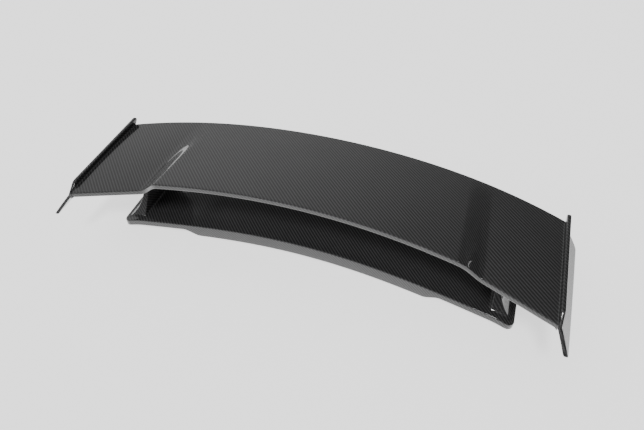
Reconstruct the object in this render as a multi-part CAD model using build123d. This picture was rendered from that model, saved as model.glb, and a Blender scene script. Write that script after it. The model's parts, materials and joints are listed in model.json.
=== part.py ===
from build123d import *
import os

# Two-deck carbon-fibre rear wing for a sports car.
# Millimetres. X runs along the span, +Y towards the rear of the car, +Z up.
# The origin is the centre of the deck bolt pattern, on the plane the wing stands on.

# ---- blade (upper element) ----
blade_half_span = 714.0      # to the inner face of each endplate
blade_height = 210.0         # top of the outboard leading edge above the deck plane
blade_front_y = -215.0       # leading edge at the blade's ends
end_chord = 368.0            # leading to trailing edge at the ends
outboard_sweep = 0.412       # rearward run of the outboard leading edge for each mm inboard
centre_setback = 119.7       # leading edge at mid-span, behind the leading edge at the ends
centre_bow = 119.5           # forward bow of the centre section's leading edge
centre_raise = 59.5          # leading edge at mid-span above the outboard leading edge
centre_droop = 18.0          # fall of the raised leading edge from mid-span to full half span
trailing_bow = 129.2         # trailing edge at mid-span, behind the trailing edge at the ends
trailing_fullness = 25.1     # how much the trailing edge's curve bulges beyond a parabola
trailing_rise = 17.0         # trailing edge at mid-span above the trailing edge at the ends
step_inner_front = 124.0     # where the raised section starts to fall, inboard of the pylon
step_outer_front = 47.0      # where it has come down, both at the leading edge
step_inner_rear = 139.0      # the same two places at the trailing edge
step_outer_rear = 64.0
blade_crown = 4.0            # bulge of the top surface between the edges
rim_height = 18.5            # blunt leading edge
blade_bulge = 13.75          # extra thickness at mid-chord
trailing_thickness = 3.5
rim_top_radius = 4.0
rim_bottom_radius = 5.0
blade_underside = blade_height - rim_height

# ---- laminate and bonding ----
wall = 2.0                   # carbon laminate
bond_line = 0.3              # adhesive between bonded pieces
rib_tail = 0.955             # chord fraction where the ribs end
front_spar_place = 0.24      # chord fraction
rear_spar_setback = 10.0     # rear spar behind the head blocks
base_spar_place = 0.45
spar_thickness = 4.0
rib_thickness = 4.0

# ---- endplates ----
plate_thickness = 12.0
plate_top_front = (-177.0, blade_height + 17.0)     # side outline, as (y, z)
plate_top_rear = (176.0, blade_height + 21.0)
plate_low_rear = (104.0, blade_height - 48.0)
plate_low_front = (-276.0, blade_height - 59.0)
plate_end_round = 7.0        # corner radii of the outline, at its two ends and between them
plate_bend_round = 30.0
plate_flare_front = 32.0     # outward lean of the lower edge, front and rear
plate_flare_rear = 52.0
flare_start = blade_height - 17.0     # height where the lean starts
flare_power = 0.85
dowel_radius = 3.0
dowel_length = 11.0
dowel_in_plate = 5.0

# ---- base (lower element) ----
base_half_span = blade_half_span - 71.0
base_front_y = -64.8         # front rim at mid-span
base_front_bow = 91.1
base_front_fullness = 19.3
base_rear_y = 168.0          # rear edge at mid-span
base_rear_bow = 118.0
base_height = 62.5           # top of the front rim at mid-span
base_fall = 45.8             # fall of the top from mid-span to the blade's full half span
base_fall_easing = 14.5
foot_droop = 12.5            # extra fall of the foot outside the pylon
base_rear_rise = 5.0         # rear edge above the front rim
base_rim_end = 21.0          # rim height at the feet
base_rim_belly = 44.0        # rim height in the middle
belly_inner = 198.0          # where the deep belly starts to rise, inboard of the pylon
belly_outer = 141.0          # where it has risen
base_rear_thickness = 6.0
tip_round = 24.0             # plan radius of the foot's corners

# ---- pylons ----
pylon_inner = base_half_span - 74.0   # flat inner face
pylon_width = 16.0           # front rim, measured along the span
pylon_front_low = -95.4      # front edge at the pylon's foot
pylon_chord_low = 180.0
pylon_lean = 0.613           # rearward run of the front edge for each mm of height
pylon_rear_lean = 0.33
pylon_tail = 6.0             # thickness of the rear edge
pylon_root = 39.0            # height where the pylon's foot meets the base
pylon_flare = 54.0           # extra width of the foot at the lowest section
pylon_flare_top = 112.0      # height where the outward flare has ended
pylon_bottom = 18.0          # lowest section, before the base trims it
pylon_top = blade_height + 12.0       # highest section, before the blade trims it
seat_gap = 0.3               # between the pylon and what it stands on or carries

# ---- metalwork ----
spine_thickness = 5.0
spine_clearance = 0.2        # each side of the spine in its slots
head_block_width = 20.0
head_block_setback = 10.0    # front end of the head block behind the pylon's front edge
head_block_length = 84.0
head_screw_height = blade_height - 2.0
head_screw_inset = 16.0      # from each end of the block to its screws
deck_block_width = 30.0
deck_block_length = 150.0
deck_pad_thickness = 3.0
deck_bolt_half_spacing = 55.0
foot_screw_half_spacing = 28.0
foot_screw_drop = 10.5       # foot screws below the base's top
insert_radius = 6.0
insert_bore_radius = 3.4     # tapping size of an M8 thread
insert_length = 17.0         # from the deck plane up
pad_clearance = 0.2          # round the inserts
screw_radius = 2.5
screw_head_radius = 4.25
screw_head_height = 5.0
socket_radius = 2.0
socket_depth = 2.5
washer_radius = 5.0
washer_thickness = 1.0
screw_clearance = 0.1
spine_depth = 20.0           # how far the spine reaches into the deck block

spine_x = pylon_inner + pylon_width / 2


def places(start, stop, count=9):
    return [start + (stop - start) * i / (count - 1) for i in range(count)]


head_front = (pylon_front_low + pylon_lean * (blade_underside - pylon_root)
              + head_block_setback)
head_rear = head_front + head_block_length

# ---- places along the span that follow the pylons ----
blade_raised_front = pylon_inner - step_inner_front
blade_low_front = pylon_inner - step_outer_front
blade_raised_rear = pylon_inner - step_inner_rear
blade_low_rear = pylon_inner - step_outer_rear
belly_deep = pylon_inner - belly_inner
belly_shallow = pylon_inner - belly_outer
tip_start = base_half_span - tip_round
blade_stations = (
    places(0, blade_raised_rear, 5)
    + [blade_raised_front]
    + places(blade_raised_front, blade_low_front, 5)[1:]
    + places(blade_low_front, blade_half_span, 5)[1:-1]
)
base_stations = (
    places(0, belly_deep, 4)
    + places(belly_deep, belly_shallow, 4)[1:]
    + places(belly_shallow, pylon_inner, 3)[1:]
    + places(pylon_inner, tip_start, 3)[1:]
    + [tip_start + 0.46 * tip_round, tip_start + 0.75 * tip_round, tip_start + 0.92 * tip_round]
)


def smooth(value):
    """Smooth step from 0 to 1."""
    held = min(1.0, max(0.0, value))
    return held * held * (3 - 2 * held)


def span_share(x):
    """Square of the distance from mid-span, 1 at the blade's ends."""
    return (x / blade_half_span) ** 2


# ---- blade surface ----
def raised(x, s):
    """1 on the raised centre section, 0 outboard; s is the chord fraction."""
    inner = blade_raised_front + s * (blade_raised_rear - blade_raised_front)
    outer = blade_low_front + s * (blade_low_rear - blade_low_front)
    return smooth((outer - abs(x)) / (outer - inner))


def leading_y(x):
    inboard = blade_front_y + centre_setback - centre_bow * span_share(x)
    outboard = blade_front_y + outboard_sweep * (blade_half_span - abs(x))
    share = raised(x, 0)
    return share * inboard + (1 - share) * outboard


def trailing_y(x):
    u = 1 - span_share(x)
    return blade_front_y + end_chord + trailing_bow * u + trailing_fullness * u * (1 - u)


def blade_y(x, s):
    return leading_y(x) + s * (trailing_y(x) - leading_y(x))


def blade_top(x, s):
    lift = (centre_raise - centre_droop * span_share(x)) * raised(x, s) * (1 - s)
    tail = trailing_rise * (1 - span_share(x)) * s
    return blade_height + lift + tail + 4 * blade_crown * s * (1 - s)


def blade_thickness(s):
    nose = rim_height * (1 - s) ** 1.5
    return nose + trailing_thickness * s + 4 * blade_bulge * s * (1 - s)


def skin(s):
    """Skin thickness, thinned into the trailing edge so that the two skins meet there."""
    return wall - (wall - trailing_thickness / 2) * s ** 8


# ---- base surface ----
def tip_setback(x):
    """Rounds the foot's corners in plan."""
    over = abs(x) - (base_half_span - tip_round)
    if over <= 0:
        return 0.0
    return tip_round - (tip_round ** 2 - min(over, 0.98 * tip_round) ** 2) ** 0.5


def base_front(x):
    t = span_share(x)
    return base_front_y - base_front_bow * t + base_front_fullness * t * t + tip_setback(x)


def base_rear(x):
    return base_rear_y - base_rear_bow * span_share(x) - tip_setback(x)


def base_y(x, s):
    return base_front(x) + s * (base_rear(x) - base_front(x))


def base_top(x, s):
    t = span_share(x)
    outside = max(0.0, (abs(x) - pylon_inner) / (base_half_span - pylon_inner))
    level = base_height - base_fall * t + base_fall_easing * t * t - foot_droop * outside ** 2
    return level + base_rear_rise * s


def base_thickness(x, s):
    belly = 1 - smooth((abs(x) - belly_deep) / (belly_shallow - belly_deep))
    rim = base_rim_end + (base_rim_belly - base_rim_end) * belly
    return rim + (base_rear_thickness - rim) * s ** 6


# ---- lofting ----
def profile(x, corners):
    """Closed wire at one station; each run is a list of (y, z): two points a line, more a spline."""
    edges = []
    for run in corners:
        points = [Vector(x, y, z) for y, z in run]
        if len(points) == 2:
            edges.append(Edge.make_line(points[0], points[1]))
        else:
            edges.append(Edge.make_spline(points))
    return Wire(edges)


def loft_along_span(stations, runs_at):
    return Solid.make_loft([profile(x, runs_at(x)) for x in stations], True)


def both_sides(values, end):
    """Stations from one end to the other, mirrored about mid-span."""
    half = [v for v in values if v < end - 1] + [end]
    return [-v for v in reversed(half) if v > 0] + half


def join_runs(*runs):
    """Adds the straight runs that link each run to the next, round the section."""
    linked = []
    for i, run in enumerate(runs):
        following = runs[(i + 1) % len(runs)]
        linked.append(run)
        linked.append([run[-1], following[0]])
    return linked


def corner(y, z, start, end):
    """Quarter-round between two tangent points about the sharp corner (y, z)."""
    bend = 0.2929
    middle = []
    for a, b, c in zip((y, z), start, end):
        middle.append(a + bend * (b + c - 2 * a))
    return [start, tuple(middle), end]


# ---- blade pieces ----
def at_depth(x, depth):
    """Chord fraction of a point that lies this far behind the leading edge."""
    return depth / (trailing_y(x) - leading_y(x))


def outer_top(x):
    start = at_depth(x, rim_top_radius)
    return [(blade_y(x, s), blade_top(x, s)) for s in places(1.0, start)]


def outer_bottom(x):
    start = at_depth(x, rim_bottom_radius)
    return [(blade_y(x, s), blade_top(x, s) - blade_thickness(s)) for s in places(start, 1.0)]


def inner_top(x, start, stop, gap=0.0):
    shares = places(start, stop)
    return [(blade_y(x, s), blade_top(x, s) - skin(s) - gap) for s in shares]


def inner_bottom(x, start, stop, gap=0.0):
    shares = places(start, stop)
    return [(blade_y(x, s), blade_top(x, s) - blade_thickness(s) + skin(s) + gap) for s in shares]


def blade_envelope_runs(x):
    top = outer_top(x)
    bottom = outer_bottom(x)
    y = leading_y(x)
    z = blade_top(x, 0)
    upper = corner(y, z, top[-1], (y, z - rim_top_radius))
    lower = corner(y, z - rim_height, (y, z - rim_height + rim_bottom_radius), bottom[0])
    return [top, upper, [upper[-1], lower[0]], lower, bottom, [bottom[-1], top[0]]]


def upper_skin_runs(x):
    top = outer_top(x)
    y = leading_y(x)
    z = blade_top(x, 0)
    split = z - rim_height / 2
    under = inner_top(x, at_depth(x, wall), 1.0)
    upper = corner(y, z, top[-1], (y, z - rim_top_radius))
    return [top, upper, [upper[-1], (y, split)], [(y, split), (y + wall, split)],
            [(y + wall, split), under[0]], under, [under[-1], top[0]]]


def lower_skin_runs(x):
    bottom = outer_bottom(x)
    y = leading_y(x)
    z = blade_top(x, 0)
    split = z - rim_height / 2
    inside = inner_bottom(x, 1.0, at_depth(x, wall))
    lower = corner(y, z - rim_height, (y, z - rim_height + rim_bottom_radius), bottom[0])
    return [inside, [inside[-1], (y + wall, split)], [(y + wall, split), (y, split)],
            [(y, split), lower[0]], lower, bottom, [bottom[-1], inside[0]]]


def inside_runs(start_at, stop_at):
    """Section that fills the blade between two chord places, each a function of the station."""
    def runs(x):
        start = start_at(x)
        stop = stop_at(x)
        return join_runs(inner_top(x, start, stop, bond_line), inner_bottom(x, stop, start, bond_line))
    return runs


def spar_runs(place):
    return inside_runs(lambda x: place, lambda x: place + at_depth(x, spar_thickness))


rear_spar_place = at_depth(spine_x, head_rear + rear_spar_setback - leading_y(spine_x))
nose_to_tail = inside_runs(lambda x: at_depth(x, wall + bond_line), lambda x: rib_tail)
spar_half = blade_half_span - rib_thickness - bond_line
blade_ends = both_sides(blade_stations, blade_half_span)
spar_span = both_sides(blade_stations, spar_half)
near_pylon = [x for x in blade_stations if x > blade_raised_front] + [blade_half_span]

blade_upper_skin = loft_along_span(blade_ends, upper_skin_runs)
blade_lower_skin = loft_along_span(blade_ends, lower_skin_runs)
blade_front_spar = loft_along_span(spar_span, spar_runs(front_spar_place))
blade_rear_spar = loft_along_span(spar_span, spar_runs(rear_spar_place))
end_rib = loft_along_span([blade_half_span - rib_thickness, blade_half_span], nose_to_tail)
blade_over_pylon = loft_along_span(near_pylon, blade_envelope_runs)
blade_cavity = loft_along_span(near_pylon, nose_to_tail)


# ---- base pieces ----
def base_depth(x, depth):
    return depth / (base_rear(x) - base_front(x))


def base_upper_line(x, start, stop, drop):
    return [(base_y(x, s), base_top(x, s) - drop) for s in places(start, stop)]


def base_lower_line(x, start, stop, rise):
    shares = places(start, stop)
    return [(base_y(x, s), base_top(x, s) - base_thickness(x, s) + rise) for s in shares]


def base_envelope_runs(x):
    return join_runs(base_upper_line(x, 1.0, 0.0, 0.0), base_lower_line(x, 0.0, 1.0, 0.0))


def base_upper_skin_runs(x):
    """Top skin with the front rim turned down over its full height."""
    behind_rim = base_depth(x, wall)
    top = base_upper_line(x, 1.0, 0.0, 0.0)
    under = base_upper_line(x, behind_rim, 1.0, wall)
    front = base_front(x)
    low = base_top(x, 0) - base_thickness(x, 0)
    return [top, [top[-1], (front, low)], [(front, low), (front + wall, low)],
            [(front + wall, low), under[0]], under, [under[-1], top[0]]]


def base_lower_skin_runs(x):
    start = base_depth(x, wall + bond_line)
    outside = base_lower_line(x, start, 1.0, 0.0)
    inside = base_lower_line(x, 1.0, start, wall)
    return join_runs(outside, inside)


def base_inside_runs(start_at, stop_at):
    """Section that fills the base between two chord places, each a function of the station."""
    def runs(x):
        start = start_at(x)
        stop = stop_at(x)
        top = base_upper_line(x, start, stop, wall + bond_line)
        bottom = base_lower_line(x, stop, start, wall + bond_line)
        return join_runs(top, bottom)
    return runs


def under_base_skin(x):
    """Everything from the deck plane up to the underside of the base's upper skin."""
    top = base_upper_line(x, 0.05, 0.95, wall + bond_line)
    floor = [(top[-1][0], 0.0), (top[0][0], 0.0)]
    return [top, [top[-1], floor[0]], floor, [floor[1], top[0]]]


base_spar_section = base_inside_runs(lambda x: base_spar_place,
                                     lambda x: base_spar_place + base_depth(x, spar_thickness))
base_nose_to_tail = base_inside_runs(lambda x: base_depth(x, wall + bond_line), lambda x: 0.97)
base_end = base_half_span - 0.5
base_ends = both_sides(base_stations, base_end)
base_near_pylon = [x for x in base_stations if belly_shallow - 20 < x < base_end] + [base_end]
base_upper_skin = loft_along_span(base_ends, base_upper_skin_runs)
base_lower_skin = loft_along_span(base_ends, base_lower_skin_runs)
base_spar_half = pylon_inner - 24
base_spar = loft_along_span(both_sides(base_stations, base_spar_half), base_spar_section)
foot_cap = loft_along_span([base_end - wall, base_end], base_nose_to_tail)
base_under_pylon = loft_along_span(base_near_pylon, base_envelope_runs)
base_cavity = loft_along_span(base_near_pylon, under_base_skin)


# ---- pylons ----
def pylon_outline(z, inset):
    """Horizontal section of the right pylon at height z, as four corner points."""
    below = max(0.0, (pylon_flare_top - z) / (pylon_flare_top - pylon_bottom))
    outer = pylon_inner + pylon_width + pylon_flare * below ** 2.2
    front = pylon_front_low + pylon_lean * (z - pylon_root)
    rear = pylon_front_low + pylon_chord_low + pylon_rear_lean * (z - pylon_root)
    waist = front + 0.45 * (rear - front)
    tail = pylon_inner + pylon_tail
    return [
        (pylon_inner + inset, front + inset),
        (outer - inset, front + inset),
        (outer - inset, waist),
        (tail + 0.4 * (outer - tail) - 0.2 * inset, rear - 0.18 * (rear - front)),
        (tail - 0.6 * inset, rear - inset),
        (pylon_inner + inset, rear - inset),
    ]


def pylon_loft(inset):
    wires = []
    for z in places(pylon_bottom, pylon_top, 12):
        p = [Vector(x, y, z) for x, y in pylon_outline(z, inset)]
        wires.append(Wire([
            Edge.make_line(p[0], p[1]),
            Edge.make_line(p[1], p[2]),
            Edge.make_spline([p[2], p[3], p[4]]),
            Edge.make_line(p[4], p[5]),
            Edge.make_line(p[5], p[0]),
        ]))
    return Solid.make_loft(wires)


def block(x_low, x_high, y_low, y_high, z_low, z_high):
    size = (x_high - x_low, y_high - y_low, z_high - z_low)
    centre = ((x_low + x_high) / 2, (y_low + y_high) / 2, (z_low + z_high) / 2)
    return Pos(*centre) * Box(*size)


def rod_x(x_low, x_high, y, z, radius):
    """Round bar along the span."""
    centre = Pos((x_low + x_high) / 2, y, z)
    return centre * Rot(0, 90, 0) * Cylinder(radius, x_high - x_low)


def rod_z(x, y, z_low, z_high, radius):
    return Pos(x, y, (z_low + z_high) / 2) * Cylinder(radius, z_high - z_low)


raised_blade = Pos(0, 0, -seat_gap) * blade_over_pylon
lifted_base = Pos(0, 0, seat_gap) * base_under_pylon
pylon_right = pylon_loft(0.0) - pylon_loft(wall)
pylon_right = pylon_right - raised_blade - lifted_base
pylon_right = pylon_right.solids().sort_by(SortBy.VOLUME)[-1]


# ---- spine, head block and deck block (right side) ----
deck_half = deck_block_length / 2
head_low = blade_height - 60
head_high = blade_height + 40
skin_over_block = base_top(spine_x, 0.5) - wall
spine_low = skin_over_block - spine_depth
spine_shoulder = base_top(spine_x, 1.0) + 1
spine_high = head_screw_height + 4
foot_screw_height = base_top(spine_x, 0.5) - foot_screw_drop
spine_front = -deck_half + 8
spine_rear = deck_half - 20

spine_profile = Plane.YZ * make_face(Polyline(
    (spine_front, spine_low),
    (spine_rear, spine_low),
    (spine_rear, spine_shoulder),
    (head_rear - 3, blade_underside),
    (head_rear - 3, spine_high),
    (head_front + 5, spine_high),
    (head_front + 5, blade_underside),
    (spine_front, spine_shoulder),
    close=True,
))
spine_left_face = spine_x - spine_thickness / 2
spine_right = Pos(spine_left_face, 0, 0) * extrude(spine_profile, spine_thickness)

head_screw_places = (head_front + head_screw_inset, head_rear - head_screw_inset)
foot_screw_places = (-foot_screw_half_spacing, foot_screw_half_spacing)
deck_bolt_places = (-deck_bolt_half_spacing, deck_bolt_half_spacing)

slot_half = spine_thickness / 2 + spine_clearance
head_low_x = spine_x - head_block_width / 2
head_high_x = spine_x + head_block_width / 2
head_block_right = block(head_low_x, head_high_x, head_front, head_rear, head_low, head_high)
head_block_right = head_block_right & blade_cavity
head_block_right -= block(spine_x - slot_half, spine_x + slot_half, head_front + 2.5,
                          head_rear - 2.5, head_low, spine_high + spine_clearance)

deck_low_x = spine_x - deck_block_width / 2
deck_high_x = spine_x + deck_block_width / 2
deck_block_right = block(deck_low_x, deck_high_x, -deck_half, deck_half, deck_pad_thickness, 60)
deck_block_right = deck_block_right & base_cavity
deck_block_right -= block(spine_x - slot_half, spine_x + slot_half, spine_front - spine_clearance,
                          spine_rear + spine_clearance, spine_low - spine_clearance, 60)


def cross_screw(x_head, y, z):
    """Socket screw along the span, its head on the outboard side and its tip inboard."""
    reach = (x_head - spine_x) * 2
    shank = rod_x(x_head - reach, x_head, y, z, screw_radius)
    head = rod_x(x_head, x_head + screw_head_height, y, z, screw_head_radius)
    socket = rod_x(x_head + screw_head_height - socket_depth, x_head + screw_head_height,
                   y, z, socket_radius)
    return shank + head - socket


def screw_hole(x_head, y, z):
    reach = (x_head - spine_x) * 2
    return rod_x(x_head - reach - 1, x_head + 1, y, z, screw_radius + screw_clearance)


def washer(x_face, y, z):
    ring = rod_x(x_face, x_face + washer_thickness, y, z, washer_radius)
    return ring - rod_x(x_face - 1, x_face + washer_thickness + 1, y, z, screw_radius + screw_clearance)


head_seat = head_high_x + washer_thickness
foot_seat = deck_high_x + washer_thickness
head_screws = [cross_screw(head_seat, y, head_screw_height) for y in head_screw_places]
foot_screws = [cross_screw(foot_seat, y, foot_screw_height) for y in foot_screw_places]
head_washers = [washer(head_high_x, y, head_screw_height) for y in head_screw_places]
foot_washers = [washer(deck_high_x, y, foot_screw_height) for y in foot_screw_places]
for y in head_screw_places:
    spine_right -= screw_hole(head_seat, y, head_screw_height)
    head_block_right -= screw_hole(head_seat, y, head_screw_height)
for y in foot_screw_places:
    spine_right -= screw_hole(foot_seat, y, foot_screw_height)
    deck_block_right -= screw_hole(foot_seat, y, foot_screw_height)

deck_inserts = []
deck_pad_right = block(deck_low_x, deck_high_x, -deck_half, deck_half, 0, deck_pad_thickness)
for y in deck_bolt_places:
    bore = rod_z(spine_x, y, -1, insert_length + 1, insert_bore_radius)
    sleeve = rod_z(spine_x, y, 0, insert_length, insert_radius)
    deck_inserts.append(sleeve - bore)
    deck_block_right -= sleeve
    deck_pad_right -= rod_z(spine_x, y, -1, deck_pad_thickness + 1, insert_radius + pad_clearance)

# ---- cut the bonded pieces round the metalwork, on both sides ----
spine_slot = block(spine_x - slot_half, spine_x + slot_half, head_front + 2, head_rear - 2,
                   head_low, head_screw_height)
foot_slot = block(spine_x - slot_half, spine_x + slot_half, spine_front - 1, spine_rear + 1,
                  spine_low, 80)
foot_hole = block(deck_low_x - bond_line, deck_high_x + bond_line, -deck_half - bond_line,
                  deck_half + bond_line, 0, 80)


def mirrored(piece):
    return piece.mirror(Plane.YZ)


def cut_both(piece, tool):
    return piece - tool - mirrored(tool)


blade_lower_skin = cut_both(blade_lower_skin, spine_slot)
base_upper_skin = cut_both(base_upper_skin, foot_slot)
base_lower_skin = cut_both(base_lower_skin, foot_hole)

# ---- endplates and their dowels (right side) ----
def plate_section(y, flare):
    low = min(plate_low_front[1], plate_low_rear[1]) - 3
    high = plate_top_front[1] + 3
    inner = [Vector(blade_half_span, y, flare_start)]
    for share in (0.25, 0.5, 0.75, 1.0):
        out = blade_half_span + flare * share ** flare_power
        inner.append(Vector(out, y, flare_start + (low - flare_start) * share))
    outer = [p + Vector(plate_thickness, 0, 0) for p in inner]
    inner_high = Vector(blade_half_span, y, high)
    outer_high = inner_high + Vector(plate_thickness, 0, 0)
    return Wire([
        Edge.make_line(inner_high, inner[0]),
        Edge.make_spline(inner),
        Edge.make_line(inner[-1], outer[-1]),
        Edge.make_spline(outer[::-1]),
        Edge.make_line(outer[0], outer_high),
        Edge.make_line(outer_high, inner_high),
    ])


plate_sheet = Solid.make_loft([
    plate_section(plate_low_front[0] - 5, plate_flare_front),
    plate_section(plate_top_rear[0] + 5, plate_flare_rear),
], True)
plate_outline = make_face(Polyline(plate_top_front, plate_top_rear, plate_low_rear,
                                   plate_low_front, close=True))
bends = plate_outline.vertices().sort_by(Axis.X)[1:-1]
plate_outline = fillet(bends, plate_bend_round)
by_length = plate_outline.vertices().sort_by(Axis.X)
plate_outline = fillet([by_length[0], by_length[-1]], plate_end_round)
plate_prism = Pos(blade_half_span - 5, 0, 0) * extrude(Plane.YZ * plate_outline, 90)
endplate_right = plate_sheet & plate_prism

dowel_spots = []
for s in (0.3, 0.62):
    middle = blade_top(blade_half_span, s) - blade_thickness(s) / 2
    dowel_spots.append((blade_y(blade_half_span, s), middle))
dowel_inner_end = blade_half_span + dowel_in_plate - dowel_length
dowels = []
for y, z in dowel_spots:
    dowels.append(rod_x(dowel_inner_end, blade_half_span + dowel_in_plate, y, z, dowel_radius))
    hole = rod_x(dowel_inner_end - 1, blade_half_span + dowel_in_plate, y, z, dowel_radius)
    endplate_right = endplate_right - hole
    end_rib = end_rib - hole

# ---- write each piece ----
os.makedirs("parts", exist_ok=True)


def save(name, piece):
    export_step(Compound(piece.solids()) if len(piece.solids()) > 1 else piece.solids()[0],
                "parts/" + name + ".step")


def save_group(name, right_pieces):
    """Like pieces of both sides, kept as separate solids in one node."""
    solids = []
    for piece in right_pieces:
        solids += piece.solids()
        solids += mirrored(piece).solids()
    export_step(Compound(solids), "parts/" + name + ".step")


single = {
    "blade_upper_skin": blade_upper_skin,
    "blade_lower_skin": blade_lower_skin,
    "blade_front_spar": blade_front_spar,
    "blade_rear_spar": blade_rear_spar,
    "base_upper_skin": base_upper_skin,
    "base_lower_skin": base_lower_skin,
    "base_spar": base_spar,
}
paired = {
    "endplate": endplate_right,
    "blade_end_rib": end_rib,
    "pylon": pylon_right,
    "pylon_spine": spine_right,
    "head_block": head_block_right,
    "deck_block": deck_block_right,
    "deck_pad": deck_pad_right,
    "foot_cap": foot_cap,
}
grouped = {
    "endplate_dowels": dowels,
    "head_screws": head_screws,
    "foot_screws": foot_screws,
    "screw_washers": head_washers + foot_washers,
    "deck_inserts": deck_inserts,
}
for name, piece in single.items():
    save(name, piece)
for name, piece in paired.items():
    save(name + "_right", piece)
    save(name + "_left", mirrored(piece))
for name, pieces in grouped.items():
    save_group(name, pieces)
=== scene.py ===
import json
import math

import bmesh
import bpy
from bpy.props import FloatProperty, FloatVectorProperty, PointerProperty
from mathutils import Matrix, Vector


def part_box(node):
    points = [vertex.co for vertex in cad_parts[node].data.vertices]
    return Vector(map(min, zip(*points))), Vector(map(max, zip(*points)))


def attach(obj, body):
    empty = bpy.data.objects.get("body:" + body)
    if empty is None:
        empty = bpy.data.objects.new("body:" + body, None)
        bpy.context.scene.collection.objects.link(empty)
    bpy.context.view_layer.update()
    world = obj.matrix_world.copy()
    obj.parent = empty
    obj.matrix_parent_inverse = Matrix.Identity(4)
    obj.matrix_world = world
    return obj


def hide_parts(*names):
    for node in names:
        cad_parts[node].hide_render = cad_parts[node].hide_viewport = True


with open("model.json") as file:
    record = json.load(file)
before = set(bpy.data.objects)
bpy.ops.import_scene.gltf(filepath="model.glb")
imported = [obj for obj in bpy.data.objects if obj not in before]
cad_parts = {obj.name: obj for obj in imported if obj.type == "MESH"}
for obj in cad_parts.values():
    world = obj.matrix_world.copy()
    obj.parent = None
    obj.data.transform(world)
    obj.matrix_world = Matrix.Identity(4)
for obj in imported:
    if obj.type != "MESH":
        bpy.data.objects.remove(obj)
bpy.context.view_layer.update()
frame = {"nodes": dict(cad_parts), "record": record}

bl_info = {
    "name": "Carbon rear wing",
    "version": (1, 0, 0),
    "blender": (4, 5, 0),
    "location": "View3D > Sidebar > Rear wing",
    "description": "Models a two-deck carbon rear wing round its packed frame",
    "category": "Add Mesh",
}

ROOT = "root"
END_LOW, END_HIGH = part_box("blade_upper_skin")
BASE_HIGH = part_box("base_upper_skin")[1]
PYLON_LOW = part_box("pylon_right")[0]

# Stations of the meshes: along the span or the edge, and across it.
BLADE_STATIONS, BLADE_CHORD_STEPS = 361, 52
BASE_STATIONS, PANEL_STATIONS, BASE_ROWS = 401, 301, 45
PLATE_ROWS, PLATE_COLUMNS = 34, 40
CORNER_STEPS = 6
ARC_STEPS = 7
LIP_STEPS = 5

# Base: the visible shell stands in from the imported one, and its panel clears the shell.
BASE_CLEARANCE = 0.0005
PANEL_GAP = 0.0003

# Pylon: meeting heights with the base and the blade are found by repeated steps.
MEETING_STEPS, MEETING_SHARE = 30, 0.6
FOOT_GUESS, HEAD_GUESS, PYLON_HEIGHT = 0.04, 0.19, 0.15

# Endplate: corners as (y, height against the blade), from low front round to top front.
PLATE_CORNERS = ((-0.2715, -0.0592), (0.104, -0.048), (0.176, 0.021), (-0.177, 0.017))
PLATE_DEPTH = 0.435
CENTRE_REACH, END_REACH = 0.0102, 0.0195
FLARE_BOTTOM, FLARE_FRONT_Y, FLARE_LENGTH, FLARE_POWER = 0.148, -0.281, 0.462, 0.98
BEAD_WALL, BEAD_CHORD_STEPS = 0.0006, 40

# Studio: floor, lights and camera.
FLOOR_HALF = 12.0
FLOOR_GLOW = 1.3
SUN_TOWARDS, SUN_POWER, SUN_SPREAD = (0.10, -0.55, 0.83), 1.5, 12.0
CAMERA_PLACE = (0.4208, -1.0988, 1.3662)
CAMERA_FORWARD = (-0.2346, 0.6530, -0.7201)
CAMERA_AZIMUTH, CAMERA_ROLL = 19.77, -0.55
CAMERA_LENS, CAMERA_SENSOR = 30.73, 36.0


def length(name, description, default):
    """A size in metres that a user may change."""
    return FloatProperty(name=name, description=description, default=default, min=0.0,
                         unit="LENGTH", subtype="DISTANCE", precision=5)


def place(name, description, default):
    """A coordinate in metres, which may be negative."""
    return FloatProperty(name=name, description=description, default=default,
                         unit="LENGTH", subtype="DISTANCE", precision=5)


def tint(name, description, default):
    return FloatVectorProperty(name=name, description=description, default=default,
                               size=4, min=0.0, max=1.0, subtype="COLOR")


# ---------------------------------------------------------------- sizes and colours
class BladeSizes(bpy.types.PropertyGroup):
    half_span: length("Half span", "Mid-span to the endplate's inner face", END_HIGH.x)
    height: length("Height", "Top of the outboard leading edge", 0.210)
    front: place("Front", "Leading edge at the ends", END_LOW.y)
    end_chord: length("End chord", "Leading to trailing edge at the ends", 0.368)
    sweep: FloatProperty(name="Sweep", description="Rearward run per metre inboard", default=0.412)
    setback: length("Centre setback", "Leading edge at mid-span behind the ends", 0.1197)
    bow: length("Centre bow", "Bow of the centre section's leading edge", 0.1195)
    lift: length("Centre raise", "Leading edge at mid-span above the outboard edge", 0.0595)
    droop: length("Centre droop", "Fall of the raised edge towards the ends", 0.018)
    tail_bow: length("Trailing bow", "Trailing edge at mid-span behind the ends", 0.1292)
    tail_fullness: length("Trailing fullness", "Bulge of the trailing curve", 0.0251)
    tail_rise: length("Trailing rise", "Trailing edge at mid-span above the ends", 0.017)
    step_in: length("Step inner end", "Where the raised section starts to fall", 0.445)
    step_out: length("Step outer end", "Where it has come down", 0.522)
    step_in_rear: length("Step inner end, rear", "The same at the trailing edge", 0.430)
    step_out_rear: length("Step outer end, rear", "The same at the trailing edge", 0.505)
    crown: length("Crown", "Bulge of the top between its edges", 0.004)
    rim: length("Rim height", "Blunt leading edge", 0.0185)
    bulge: length("Bulge", "Extra thickness at mid-chord", 0.01375)
    tail: length("Tail thickness", "Trailing edge", 0.0035)
    wall: length("Wall", "Carbon laminate", 0.002)
    top_round: length("Top rounding", "Radius along the leading edge's upper corner", 0.0045)
    low_round: length("Low rounding", "Radius along the leading edge's lower corner", 0.0055)


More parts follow.
